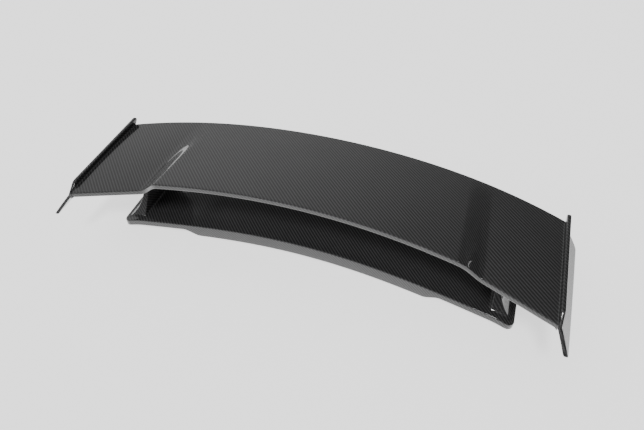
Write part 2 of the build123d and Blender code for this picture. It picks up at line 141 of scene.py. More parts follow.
class BaseSizes(bpy.types.PropertyGroup):
    half_span: length("Half span", "Mid-span to the foot's tip", BASE_HIGH.x)
    front: place("Front", "Front rim at mid-span", -0.0648)
    bow: length("Front bow", "Forward bow of the rim", 0.0911)
    fullness: length("Front fullness", "Easing of the bow", 0.0193)
    rear: place("Rear", "Rear edge at mid-span", BASE_HIGH.y)
    rear_bow: length("Rear bow", "Forward run of the rear edge to the ends", 0.118)
    height: length("Height", "Top of the front rim at mid-span", 0.0625)
    fall: length("Fall", "Fall of the top towards the ends", 0.0458)
    easing: length("Fall easing", "Easing of that fall", 0.0145)
    droop: length("Foot droop", "Extra fall outside the pylon", 0.0125)
    rise: length("Rear rise", "Rear edge above the front rim", 0.005)
    rim_end: length("Rim at the feet", "Rim height at the feet", 0.021)
    rim_belly: length("Rim in the middle", "Rim height in the middle", 0.044)
    belly_in: length("Belly inner end", "Where the belly starts to rise", 0.371)
    belly_out: length("Belly outer end", "Where it has risen", 0.428)
    rear_edge: length("Rear thickness", "Rear edge", 0.006)
    tip_round: length("Tip rounding", "Plan radius of the foot's corners", 0.024)
    lip_round: length("Lip rounding", "Radius along the rim's edges", 0.0035)


class EndplateSizes(bpy.types.PropertyGroup):
    thickness: length("Thickness", "Laminate over core", 0.012)
    flare_front: length("Front flare", "Outward lean of the lower edge, front", 0.032)
    flare_rear: length("Rear flare", "Outward lean of the lower edge, rear", 0.052)
    flare_start: length("Flare start", "Height where the lean starts", 0.1965)
    edge_round: length("Edge rounding", "Radius along the plate's edges", 0.0036)
    fillet: length("Fillet", "Bead between plate and blade", 0.004)


class PylonSizes(bpy.types.PropertyGroup):
    inner: length("Inner face", "Distance from mid-span", PYLON_LOW.x)
    width: length("Width", "Front rim", 0.016)
    front: place("Front", "Front edge at the foot", -0.0954)
    chord: length("Chord", "Length at the foot", 0.180)
    lean: FloatProperty(name="Lean", description="Rearward run per metre of height", default=0.613)
    rear_lean: FloatProperty(name="Rear lean", description="The same at the rear", default=0.33)
    tail: length("Tail", "Thickness of the rear edge", 0.006)
    root: length("Root", "Height of the foot's top", 0.039)
    flare: length("Flare", "Extra width of the foot", 0.054)
    flare_top: length("Flare top", "Height where the flare has ended", 0.112)
    flare_low: length("Flare low", "Height of the widest section", 0.018)
    corner: length("Corner", "Rounding of the upright corners", 0.0035)
    foot_fillet: length("Foot fillet", "Blend into the base", 0.007)
    head_fillet: length("Head fillet", "Blend into the blade", 0.005)


class WingColours(bpy.types.PropertyGroup):
    # Warp and weft tints are one carbon, shaded and lit: the darker warp tint is painted shade,
    # the lighter weft tint painted sheen.
    warp: tint("Warp", "Tows that run along the car", (0.0130, 0.0130, 0.0133, 1.0))
    weft: tint("Weft", "Tows that run along the span", (0.052, 0.052, 0.0532, 1.0))
    raw_carbon: tint("Raw carbon", "Unlacquered laminate", (0.028, 0.028, 0.029, 1.0))
    alloy: tint("Alloy", "Anodised aluminium", (0.62, 0.63, 0.65, 1.0))
    zinc: tint("Zinc", "Plated steel", (0.48, 0.49, 0.50, 1.0))
    rubber: tint("Rubber", "Moulded pads", (0.020, 0.020, 0.021, 1.0))
    floor: tint("Floor", "Studio sweep", (0.93, 0.93, 0.93, 1.0))
    tow: length("Tow width", "One tow of the twill", 0.0030)


class WingSettings(bpy.types.PropertyGroup):
    blade: PointerProperty(type=BladeSizes)
    base: PointerProperty(type=BaseSizes)
    endplate: PointerProperty(type=EndplateSizes)
    pylon: PointerProperty(type=PylonSizes)
    colours: PointerProperty(type=WingColours)


def settings(context):
    return context.scene.rear_wing


# ---------------------------------------------------------------- surfaces
def smooth(value):
    held = min(1.0, max(0.0, value))
    return held * held * (3 - 2 * held)


class BladeSurface:
    """The blade's top, underside and edges, as functions of the span position and chord share."""

    def __init__(self, sizes):
        self.z = {name: getattr(sizes, name) for name in BladeSizes.__annotations__}

    def share(self, x):
        return (x / self.z["half_span"]) ** 2

    def raised(self, x, s):
        z = self.z
        inner = z["step_in"] + s * (z["step_in_rear"] - z["step_in"])
        outer = z["step_out"] + s * (z["step_out_rear"] - z["step_out"])
        return smooth((outer - abs(x)) / (outer - inner))

    def lead(self, x):
        z = self.z
        inboard = z["front"] + z["setback"] - z["bow"] * self.share(x)
        outboard = z["front"] + z["sweep"] * (z["half_span"] - abs(x))
        share = self.raised(x, 0)
        return share * inboard + (1 - share) * outboard

    def trail(self, x):
        z = self.z
        u = 1 - self.share(x)
        return z["front"] + z["end_chord"] + z["tail_bow"] * u + z["tail_fullness"] * u * (1 - u)

    def chord(self, x):
        return self.trail(x) - self.lead(x)

    def at(self, x, s):
        return self.lead(x) + s * self.chord(x)

    def top(self, x, s):
        z = self.z
        lift = (z["lift"] - z["droop"] * self.share(x)) * self.raised(x, s) * (1 - s)
        return (z["height"] + lift + z["tail_rise"] * (1 - self.share(x)) * s
                + 4 * z["crown"] * s * (1 - s))

    def thickness(self, s):
        z = self.z
        return z["rim"] * max(0.0, 1 - s) ** 1.5 + z["tail"] * s + 4 * z["bulge"] * s * (1 - s)

    def underside(self, x, s):
        return self.top(x, s) - self.thickness(s)

    def underside_at(self, x, y):
        return self.underside(x, (y - self.lead(x)) / self.chord(x))


class BaseSurface:
    """The base's top, underside and edges."""

    def __init__(self, sizes):
        self.z = {name: getattr(sizes, name) for name in BaseSizes.__annotations__}
        self.blade_half = END_HIGH.x
        self.pylon = PYLON_LOW.x

    def share(self, x):
        return (x / self.blade_half) ** 2

    def tip_setback(self, x):
        radius = self.z["tip_round"]
        over = abs(x) - (self.z["half_span"] - radius)
        if over <= 0:
            return 0.0
        return radius - (radius ** 2 - min(over, 0.985 * radius) ** 2) ** 0.5

    def lead(self, x):
        z = self.z
        t = self.share(x)
        return z["front"] - z["bow"] * t + z["fullness"] * t * t + self.tip_setback(x)

    def trail(self, x):
        return self.z["rear"] - self.z["rear_bow"] * self.share(x) - self.tip_setback(x)

    def at(self, x, s):
        return self.lead(x) + s * (self.trail(x) - self.lead(x))

    def top(self, x, s):
        z = self.z
        t = self.share(x)
        outside = max(0.0, (abs(x) - self.pylon) / (z["half_span"] - self.pylon))
        return (z["height"] - z["fall"] * t + z["easing"] * t * t - z["droop"] * outside ** 2
                + z["rise"] * s)

    def thickness(self, x, s):
        z = self.z
        belly = 1 - smooth((abs(x) - z["belly_in"]) / (z["belly_out"] - z["belly_in"]))
        rim = z["rim_end"] + (z["rim_belly"] - z["rim_end"]) * belly
        return rim + (z["rear_edge"] - rim) * s ** 6

    def top_at(self, x, y):
        share = (y - self.lead(x)) / (self.trail(x) - self.lead(x))
        return self.top(x, min(1.0, max(0.0, share)))


# ---------------------------------------------------------------- mesh helpers
def new_piece(context, name, mesh, material, sharp=40.0):
    """Turns a finished bmesh into an object that rides on the wing's one body."""
    data = bpy.data.meshes.new(name)
    bmesh.ops.recalc_face_normals(mesh, faces=mesh.faces[:])
    for face in mesh.faces:
        face.smooth = True
    mesh.to_mesh(data)
    mesh.free()
    data.set_sharp_from_angle(angle=math.radians(sharp))
    data.materials.append(material)
    obj = bpy.data.objects.new(name, data)
    context.scene.collection.objects.link(obj)
    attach(obj, ROOT)
    return obj


def grid(columns, rows, position):
    """A bmesh grid whose vertices are moved to position(column, row)."""
    mesh = bmesh.new()
    bmesh.ops.create_grid(mesh, x_segments=columns - 1, y_segments=rows - 1, size=0.5)
    low_x = min(v.co.x for v in mesh.verts)
    low_y = min(v.co.y for v in mesh.verts)
    wide = max(v.co.x for v in mesh.verts) - low_x
    deep = max(v.co.y for v in mesh.verts) - low_y
    for vert in mesh.verts:
        vert.co = position((vert.co.x - low_x) / wide, (vert.co.y - low_y) / deep)
    return mesh


def shell(mesh, thickness, facing):
    """Gives an open sheet its wall, on the side away from the way its middle faces."""
    bmesh.ops.recalc_face_normals(mesh, faces=mesh.faces[:])
    if facing is not None:
        total = sum((f.normal * f.calc_area() for f in mesh.faces), Vector())
        if total.dot(facing) < 0:
            bmesh.ops.reverse_faces(mesh, faces=mesh.faces[:])
    bmesh.ops.solidify(mesh, geom=mesh.faces[:], thickness=thickness)


def mirrored(mesh):
    """A copy of the mesh on the other side of mid-span."""
    twin = mesh.copy()
    bmesh.ops.scale(twin, vec=(-1, 1, 1), verts=twin.verts)
    bmesh.ops.reverse_faces(twin, faces=twin.faces[:])
    return twin


def arc_steps(count):
    """Angles of a quarter turn, from 0 to a right angle."""
    return [math.pi / 2 * i / (count - 1) for i in range(count)]


# ---------------------------------------------------------------- materials
class Nodes:
    """Small wrapper that keeps node set-ups short."""

    def __init__(self, material):
        material.use_nodes = True
        self.tree = material.node_tree
        self.shader = self.tree.nodes["Principled BSDF"]

    def link(self, source, target):
        self.tree.links.new(source, target)

    def make(self, kind, **values):
        node = self.tree.nodes.new(kind)
        for name, value in values.items():
            setattr(node, name, value)
        return node

    def maths(self, operation, a, b=None):
        node = self.make("ShaderNodeMath", operation=operation)
        for socket, value in zip(node.inputs, (a, b)):
            if value is None:
                continue
            if isinstance(value, (int, float)):
                socket.default_value = value
            else:
                self.link(value, socket)
        return node.outputs[0]

    def blend(self, share, low, high):
        node = self.make("ShaderNodeMix", data_type="RGBA")
        self.fill(node.inputs[0], share)
        self.fill(node.inputs[6], low)
        self.fill(node.inputs[7], high)
        return node.outputs[2]

    def fill(self, socket, value):
        if hasattr(value, "is_linked"):
            self.link(value, socket)
        else:
            socket.default_value = value

    def noise(self, vector, scale, detail=2.0, roughness=0.5):
        node = self.make("ShaderNodeTexNoise")
        self.link(vector, node.inputs["Vector"])
        node.inputs["Scale"].default_value = scale
        node.inputs["Detail"].default_value = detail
        node.inputs["Roughness"].default_value = roughness
        return node.outputs["Fac"]

    def bump(self, height, strength, distance):
        node = self.make("ShaderNodeBump")
        node.inputs["Strength"].default_value = strength
        node.inputs["Distance"].default_value = distance
        self.link(height, node.inputs["Height"])
        return node.outputs["Normal"]

    def object_coordinates(self):
        return self.make("ShaderNodeTexCoord").outputs["Object"]

    def boxed(self):
        """Two coordinates on the cloth, picked by the side that the surface faces."""
        where = self.make("ShaderNodeSeparateXYZ")
        self.link(self.object_coordinates(), where.inputs[0])
        facing = self.make("ShaderNodeSeparateXYZ")
        normal = self.make("ShaderNodeNewGeometry").outputs["True Normal"]
        self.link(normal, facing.inputs[0])
        x, y, z = where.outputs
        ax, ay, az = (self.maths("ABSOLUTE", out) for out in facing.outputs)
        flat = self.maths("GREATER_THAN", az, 0.55)
        side = self.maths("GREATER_THAN", ax, ay)
        steep_u = self.pick(side, x, y)
        u = self.pick(flat, steep_u, x)
        v = self.pick(flat, z, y)
        return u, v

    def pick(self, share, low, high):
        """low where share is 0, high where it is 1."""
        over = self.maths("MULTIPLY", high, share)
        under = self.maths("MULTIPLY", low, self.maths("SUBTRACT", 1.0, share))
        return self.maths("ADD", over, under)


def fresh(name):
    """A new material under this name; one that came with the frame steps aside."""
    packed = bpy.data.materials.get(name)
    if packed is not None:
        packed.name = "packed_" + name
    return bpy.data.materials.new(name)


def woven_carbon(name, colours, warp, weft, coat, roughness):
    """2x2 twill of carbon tows: steps of two over, two under, under clear lacquer. Warp and weft
    are one carbon: the darker warp tint is painted shade and the lighter weft tint painted sheen,
    and each tow is darkened at its edges and dips as painted shade.
    """
    material = fresh(name)
    n = Nodes(material)
    u, v = n.boxed()
    a = n.maths("DIVIDE", u, colours.tow)
    b = n.maths("DIVIDE", v, colours.tow)
    column = n.maths("FLOOR", a)
    row = n.maths("FLOOR", b)
    step = n.maths("FLOORED_MODULO", n.maths("ADD", column, row), 4.0)
    on_top = n.maths("LESS_THAN", step, 1.5)

    across_warp = n.maths("SINE", n.maths("MULTIPLY", n.maths("FRACT", a), math.pi))
    across_weft = n.maths("SINE", n.maths("MULTIPLY", n.maths("FRACT", b), math.pi))
    span_warp = n.maths("FLOORED_MODULO", n.maths("ADD", b, column), 4.0)
    span_weft = n.maths("FLOORED_MODULO", n.maths("ADD", n.maths("ADD", a, row), 2.0), 4.0)
    crown_warp = n.maths("SINE", n.maths("MULTIPLY", span_warp, math.pi / 2))
    crown_weft = n.maths("SINE", n.maths("MULTIPLY", span_weft, math.pi / 2))

    vector = n.object_coordinates()
    fibre = n.make("ShaderNodeCombineXYZ")
    n.link(n.maths("MULTIPLY", u, n.pick(on_top, 0.12, 6.0)), fibre.inputs[0])
    n.link(n.maths("MULTIPLY", v, n.pick(on_top, 6.0, 0.12)), fibre.inputs[1])
    streak = n.noise(fibre.outputs[0], 900.0, 2.0)
    patch = n.noise(vector, 9.0, 3.0)

    profile = n.pick(on_top, across_weft, across_warp)
    crown = n.maths("ABSOLUTE", n.pick(on_top, crown_weft, crown_warp))
    height = n.maths("ADD", n.maths("MULTIPLY", profile, 0.6), n.maths("MULTIPLY", crown, 0.4))
    # Painted sheen: warp tows on top take the darker painted-shade tint, weft tows the lighter
    # painted-sheen tint of the same carbon.
    tow = n.blend(on_top, tuple(weft), tuple(warp))
    # Painted shade: each tow is darkened towards its edges and where it dips under a crossing;
    # fibre streaks and random patches add real grain and tone.
    painted_tow_shade_and_grain = n.maths("MULTIPLY", n.maths("ADD", 0.35, n.maths("MULTIPLY", height, 0.75)),
                    n.maths("ADD", 0.72, n.maths("MULTIPLY", streak, 0.56)))
    painted_tow_shade_and_grain = n.maths("MULTIPLY", painted_tow_shade_and_grain, n.maths("ADD", 0.85, n.maths("MULTIPLY", patch, 0.3)))
    colour = n.make("ShaderNodeVectorMath", operation="SCALE")
    n.link(tow, colour.inputs[0])
    n.link(painted_tow_shade_and_grain, colour.inputs[3])
    n.link(colour.outputs[0], n.shader.inputs["Base Color"])

    relief = n.maths("ADD", height, n.maths("MULTIPLY", streak, 0.35))
    n.link(n.bump(relief, 0.28, 0.0003), n.shader.inputs["Normal"])
    rough = n.maths("ADD", roughness, n.maths("MULTIPLY", streak, 0.16))
    n.link(rough, n.shader.inputs["Roughness"])
    n.shader.inputs["Specular IOR Level"].default_value = 0.12
    n.shader.inputs["Coat Weight"].default_value = coat
    n.shader.inputs["Coat Roughness"].default_value = 0.025
    n.shader.inputs["Coat IOR"].default_value = 1.52
    if coat > 0:
        ripple = n.noise(vector, 14.0, 2.0)
        n.link(n.bump(ripple, 0.06, 0.0015), n.shader.inputs["Coat Normal"])
    return material


def brushed_metal(name, colour, roughness, brushed):
    """Machined or plated metal with fine tool marks and slight stains."""
    material = fresh(name)
    n = Nodes(material)
    vector = n.object_coordinates()
    stretch = n.make("ShaderNodeMapping")
    stretch.inputs["Scale"].default_value = (0.05, 1.0, 1.0)
    n.link(vector, stretch.inputs["Vector"])
    marks = n.noise(stretch.outputs[0], brushed, 4.0, 0.6)
    stains = n.noise(vector, 30.0, 3.0)
    dull = tuple(0.72 * c for c in tuple(colour)[:3]) + (1.0,)
    n.link(n.blend(stains, dull, tuple(colour)), n.shader.inputs["Base Color"])
    rough = n.maths("ADD", roughness, n.maths("MULTIPLY", marks, 0.2))
    n.link(rough, n.shader.inputs["Roughness"])
    n.link(n.bump(marks, 0.12, 0.0002), n.shader.inputs["Normal"])
    n.shader.inputs["Metallic"].default_value = 1.0
    return material


def moulded_rubber(name, colour):
    material = fresh(name)
    n = Nodes(material)
    vector = n.object_coordinates()
    grain = n.noise(vector, 2600.0, 3.0)
    bloom = n.noise(vector, 60.0, 3.0)
    grey = tuple(1.6 * c for c in tuple(colour)[:3]) + (1.0,)
    n.link(n.blend(bloom, tuple(colour), grey), n.shader.inputs["Base Color"])
    n.link(n.bump(grain, 0.2, 0.0002), n.shader.inputs["Normal"])
    n.link(n.maths("ADD", 0.55, n.maths("MULTIPLY", bloom, 0.2)), n.shader.inputs["Roughness"])
    n.shader.inputs["Specular IOR Level"].default_value = 0.35
    return material


def scaled(colour, factor):
    return tuple(factor * c for c in tuple(colour)[:3]) + (1.0,)


class MESH_OT_wing_materials(bpy.types.Operator):
    """Makes the procedural finishes and gives them to the pieces that stay as packed"""

    bl_idname = "mesh.wing_materials"
    bl_label = "Wing finishes"
    bl_options = {"REGISTER", "UNDO"}

    def execute(self, context):
        c = settings(context).colours
        finishes = {
            "blade_carbon": woven_carbon("blade_carbon", c, c.warp, c.weft, 1.0, 0.26),
            # Painted light: the base is the same carbon as the blade, its warp and weft tints made
            # 1.3 times lighter.
            "base_carbon": woven_carbon("base_carbon", c, scaled(c.warp, 1.3),
                                        scaled(c.weft, 1.3), 1.0, 0.28),
            "endplate_carbon": woven_carbon("endplate_carbon", c, c.warp, c.weft, 1.0, 0.26),
            "pylon_carbon": woven_carbon("pylon_carbon", c, c.warp, c.weft, 1.0, 0.28),
            # Inner carbon: the weft tint is 1.7 times the raw carbon as painted sheen.
            "inner_carbon": woven_carbon("inner_carbon", c, c.raw_carbon,
                                         scaled(c.raw_carbon, 1.7), 0.0, 0.55),
            "aluminium": brushed_metal("aluminium", c.alloy, 0.28, 900.0),
            "steel": brushed_metal("steel", c.zinc, 0.34, 1500.0),
            "rubber": moulded_rubber("rubber", c.rubber),
        }
        for part in frame["record"]["subparts"]:
            mesh = frame["nodes"][part["node"]].data
            mesh.materials.clear()
            mesh.materials.append(finishes[part["material_slot"]])
        return {"FINISHED"}


def finish_of(slot_name):
    return bpy.data.materials[slot_name]


# ---------------------------------------------------------------- blade
def bent(start, corner, end, steps):
    """Points round a corner, tangent to both of its sides."""
    points = []
    for i in range(steps + 1):
        t = i / steps
        points.append(tuple((1 - t) ** 2 * a + 2 * t * (1 - t) * b + t * t * c
                            for a, b, c in zip(start, corner, end)))
    return points


def straight(start, end, steps):
    return [tuple(a + (b - a) * i / steps for a, b in zip(start, end)) for i in range(steps + 1)]


class BladeSection:
    """Outer line of the blade at one span position, as (y, z) points from the trailing edge."""

    def __init__(self, surface, x):
        self.s = surface
        self.x = x
        self.edge = (surface.lead(x), surface.top(x, 0))
        self.split = (self.edge[0], self.edge[1] - surface.z["rim"] / 2)
        self.low_edge = (self.edge[0], self.edge[1] - surface.z["rim"])

    def upper(self, chord_steps):
        s, x = self.s, self.x
        radius = s.z["top_round"]
        start = radius / s.chord(x)
        run = []
        for i in range(chord_steps + 1):
            share = 1 - (1 - start) * i / chord_steps
            run.append((s.at(x, share), s.top(x, share)))
        side = (self.edge[0], self.edge[1] - radius)
        corner = bent(run[-1], self.edge, side, CORNER_STEPS)
        return run + corner[1:] + straight(side, self.split, 2)[1:]

    def lower(self, chord_steps):
        s, x = self.s, self.x
        radius = s.z["low_round"]
        start = radius / s.chord(x)
        run = []
        for i in range(chord_steps + 1):
            share = start + (1 - start) * i / chord_steps
            run.append((s.at(x, share), s.underside(x, share)))
        side = (self.edge[0], self.low_edge[1] + radius)
        corner = bent(side, self.low_edge, run[0], CORNER_STEPS)
        return straight(self.split, side, 2) + corner[1:] + run[1:]


def section_grid(columns, steps, half_span, line_at):
    """A grid whose columns are stations along the span and whose rows follow the section."""
    lines = {}

    def position(across, along):
        column = round(across * (columns - 1))
        if column not in lines:
            x = half_span * (2 * column / (columns - 1) - 1)
            lines[column] = (x, line_at(x))
        x, line = lines[column]
        return Vector((x, *line[round(along * (steps - 1))]))

    return grid(columns, steps, position)


class MESH_OT_wing_blade(bpy.types.Operator):
    """Models the blade's two skins, with their rounded leading edge"""

    bl_idname = "mesh.wing_blade"
    bl_label = "Blade skins"
    bl_options = {"REGISTER", "UNDO"}

    def execute(self, context):
        sizes = settings(context).blade
        surface = BladeSurface(sizes)
        for name, node, run in (("upper", "blade_upper_skin", BladeSection.upper),
                                ("lower", "blade_lower_skin", BladeSection.lower)):
            def line_at(x, run=run):
                return run(BladeSection(surface, x), BLADE_CHORD_STEPS)

            mesh = section_grid(BLADE_STATIONS, len(line_at(0.0)), sizes.half_span, line_at)
            shell(mesh, sizes.wall * 0.85, Vector((0, 0, 1 if name == "upper" else -1)))
            obj = new_piece(context, "blade_" + name + "_shell", mesh,
                            finish_of("blade_carbon"))
            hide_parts(node)
        return {"FINISHED"}


# ---------------------------------------------------------------- base
def border_loop(mesh):
    """Border vertices of a sheet in order, each with its outward direction in plan."""
    edges = [e for e in mesh.edges if e.is_boundary]
    links = {}
    for edge in edges:
        for vert, other in (edge.verts, reversed(edge.verts)):
            links.setdefault(vert, []).append(other)
    directions = {}
    centre = sum((v.co for v in links), Vector()) / len(links)
    for vert, (a, b) in links.items():
        total = Vector((0, 0, 0))
        for other in (a, b):
            run = other.co - vert.co
            side = Vector((run.y, -run.x, 0))
            if side.length > 1e-9:
                side.normalize()
            if side.dot(vert.co - centre + (a.co + b.co) / 2 - vert.co) < 0:
                side.negate()
            total += side
        directions[vert] = total.normalized()
    return edges, directions


class MESH_OT_wing_base(bpy.types.Operator):
    """Models the base's top shell, with its rounded rim and feet, and its bottom panel"""

    bl_idname = "mesh.wing_base"
    bl_label = "Base shells"
    bl_options = {"REGISTER", "UNDO"}

    def execute(self, context):
        sizes = settings(context).base
        wall = settings(context).blade.wall
        surface = BaseSurface(sizes)
        self.top_shell(context, surface, sizes.lip_round, wall)
        self.bottom_panel(context, surface, wall)
        return {"FINISHED"}

    def top_shell(self, context, surface, radius, wall):
        half = surface.z["half_span"] - BASE_CLEARANCE - radius
        outline = Plan(surface, radius)
        mesh = grid(BASE_STATIONS, BASE_ROWS,
                    lambda a, b: outline.point(half * ease_ends(2 * a - 1), b))
        edges, outward = border_loop(mesh)
        top = {v: v.co.copy() for v in outward}
        chain = {v: v for v in outward}
        rounding = [math.pi / 2 * i / LIP_STEPS for i in range(1, LIP_STEPS + 1)]
        for angle in rounding:
            edges, chain = turned_out(mesh, edges, chain)
            for vert, first in chain.items():
                place_in = top[first] + outward[first] * radius * math.sin(angle)
                place_in.z -= radius * (1 - math.cos(angle))
                vert.co = place_in
        edges, chain = turned_out(mesh, edges, chain)
        for vert, first in chain.items():
            vert.co = top[first] + outward[first] * radius
            vert.co.z = outline.low(vert.co)
        shell(mesh, wall, Vector((0, 0, 1)))
        obj = new_piece(context, "base_top_shell", mesh, finish_of("base_carbon"))
        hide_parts("base_upper_skin", "foot_cap_left", "foot_cap_right")

    def bottom_panel(self, context, surface, wall):
        inset = wall + PANEL_GAP
        half = surface.z["half_span"] - BASE_CLEARANCE - inset
        outline = Plan(surface, inset)

        def position(a, b):
            point = outline.point(half * ease_ends(2 * a - 1), b)
            point.z = outline.low(point)
            return point

        mesh = grid(PANEL_STATIONS, BASE_ROWS, position)
        shell(mesh, wall, Vector((0, 0, -1)))
        obj = new_piece(context, "base_bottom_panel", mesh, finish_of("base_carbon"))
        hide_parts("base_lower_skin")


def ease_ends(value):
    """Crowds the stations of a span from -1 to 1 towards its two ends."""
    return math.copysign(1 - (1 - abs(value)) ** 1.15, value)


def turned_out(mesh, edges, chain):
    """Extrudes a border once; returns the new border and the first vertex of each new one."""
    made = bmesh.ops.extrude_edge_only(mesh, edges=edges)["geom"]
    fresh_edges = [g for g in made if isinstance(g, bmesh.types.BMEdge) and g.is_boundary]
    fresh_verts = {v for e in fresh_edges for v in e.verts}
    following = {}
    for vert in fresh_verts:
        for edge in vert.link_edges:
            other = edge.other_vert(vert)
            if other in chain and other not in fresh_verts:
                following[vert] = chain[other]
    return fresh_edges, following


class Plan:
    """The base's outline in plan, drawn in by an even distance."""

    def __init__(self, surface, inset):
        self.s = surface
        self.inset = inset

    def point(self, x, share):
        s = self.s
        x_edge = x * s.z["half_span"] / (s.z["half_span"] - self.inset)
        front = s.lead(x_edge) + self.inset
        rear = s.trail(x_edge) - self.inset
        y = front + share * (rear - front)
        return Vector((x, y, s.top_at(x, y)))

    def low(self, point):
        s = self.s
        front, rear = s.lead(point.x), s.trail(point.x)
        share = min(1.0, max(0.0, (point.y - front) / (rear - front)))
        return s.top(point.x, share) - s.thickness(point.x, share)


# ---------------------------------------------------------------- pylons
class PylonSurface:
    """The right pylon's outline at any height, and where the base and blade cut it off."""

    def __init__(self, sizes, blade, base):
        self.p = {name: getattr(sizes, name) for name in PylonSizes.__annotations__}
        self.blade = blade
        self.base = base

    def corners(self, z):
        p = self.p
        below = max(0.0, (p["flare_top"] - z) / (p["flare_top"] - p["flare_low"]))
        outer = p["inner"] + p["width"] + p["flare"] * below ** 2.2
        front = p["front"] + p["lean"] * (z - p["root"])
        rear = p["front"] + p["chord"] + p["rear_lean"] * (z - p["root"])
        waist = front + 0.45 * (rear - front)
        tail = p["inner"] + p["tail"]
        mid = (tail + 0.4 * (outer - tail), rear - 0.18 * (rear - front))
        return ((p["inner"], front), (outer, front), (outer, waist), mid, (tail, rear),
                (p["inner"], rear))

    def outline(self, z):
        """Closed outline, always with the same number of points."""
        inner_front, outer_front, waist, mid, tail, inner_rear = self.corners(z)
        r = self.p["corner"]
        t = 0.45 * self.p["tail"]
        a, b, c = waist, mid, tail
        share = math.dist(a, b) / (math.dist(a, b) + math.dist(b, c))

        def curve(u):
            wa = (u - share) * (u - 1) / share
            wb = u * (u - 1) / (share * (share - 1))
            wc = u * (u - share) / (1 - share)
            return tuple(wa * p + wb * q + wc * w for p, q, w in zip(a, b, c))

        near_tail = curve(0.985)
        points = bent((inner_front[0], inner_front[1] + r), inner_front,
                      (inner_front[0] + r, inner_front[1]), 6)
        points += straight((inner_front[0] + r, inner_front[1]),
                           (outer_front[0] - r, outer_front[1]), 4)[1:]
        points += bent((outer_front[0] - r, outer_front[1]), outer_front,
                       (outer_front[0], outer_front[1] + r), 6)[1:]
        points += straight((outer_front[0], outer_front[1] + r), waist, 8)[1:]
        points += [curve(0.985 * i / 16) for i in range(1, 17)]
        points += bent(near_tail, tail, (tail[0] - t, tail[1]), 4)[1:]
        points += bent((inner_rear[0] + t, inner_rear[1]), inner_rear,
                       (inner_rear[0], inner_rear[1] - t), 4)
        points += straight((inner_rear[0], inner_rear[1] - t), points[0], 18)[1:-1]
        return points

    def outward(self, points, index):
        before = points[index - 1]
        after = points[(index + 1) % len(points)]
        run = (after[0] - before[0], after[1] - before[1])
        size = math.hypot(*run)
        return (run[1] / size, -run[0] / size)

    def meeting(self, index, level_at, guess):
        """Height where one upright line of the pylon meets a surface."""
        z = guess
        for _ in range(MEETING_STEPS):
            x, y = self.outline(z)[index]
            z += MEETING_SHARE * (level_at(x, y) - z)
        return z


def blend_rows(low_radius, high_radius, height):
    """Heights from 0 to 1 along an upright line, crowded into its two fillets."""
    rows = [low_radius / height * (1 - math.cos(a)) for a in arc_steps(ARC_STEPS)]
    top = [1 - high_radius / height * (1 - math.cos(a)) for a in arc_steps(ARC_STEPS)]
    middle = [rows[-1] + (top[-1] - rows[-1]) * i / 30 for i in range(1, 30)]
    return rows + middle + top[::-1]


class MESH_OT_wing_pylons(bpy.types.Operator):
    """Models both pylons, with the blends into the base and the blade"""

    bl_idname = "mesh.wing_pylons"
    bl_label = "Pylons"
    bl_options = {"REGISTER", "UNDO"}

    def execute(self, context):
        group = settings(context)
        sizes = group.pylon
        surface = PylonSurface(sizes, BladeSurface(group.blade), BaseSurface(group.base))
        right = self.tube(surface, sizes)
        shell(right, group.blade.wall * 0.8, None)
        left = mirrored(right)
        for side, mesh in (("right", right), ("left", left)):
            obj = new_piece(context, "pylon_shell_" + side, mesh, finish_of("pylon_carbon"))
            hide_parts("pylon_" + side)
        return {"FINISHED"}

    def tube(self, surface, sizes):
        count = len(surface.outline(0.1))
        under = surface.blade.underside_at
        over = surface.base.top_at
        ends = [(surface.meeting(i, over, FOOT_GUESS), surface.meeting(i, under, HEAD_GUESS))
                for i in range(count)]
        shares = blend_rows(sizes.foot_fillet, sizes.head_fillet, PYLON_HEIGHT)

        def position(around, up):
            index = round(around * count) % count
            low, high = ends[index]
            z = low + (high - low) * shares[round(up * (len(shares) - 1))]
            points = surface.outline(z)
            out = surface.outward(points, index)
            spread_out = (swell(sizes.foot_fillet, z - low) + swell(sizes.head_fillet, high - z))
            x = points[index][0] + out[0] * spread_out
            y = points[index][1] + out[1] * spread_out
            return Vector((x, y, z))

        mesh = grid(count + 1, len(shares), position)
        bmesh.ops.remove_doubles(mesh, verts=mesh.verts[:], dist=1e-6)
        return mesh


def swell(radius, distance):
    """Outward reach of a hollow quarter-round at a distance from the surface it runs into."""
    if distance >= radius:
        return 0.0
    gap = radius - max(0.0, distance)
    return radius - math.sqrt(max(0.0, radius ** 2 - gap ** 2))


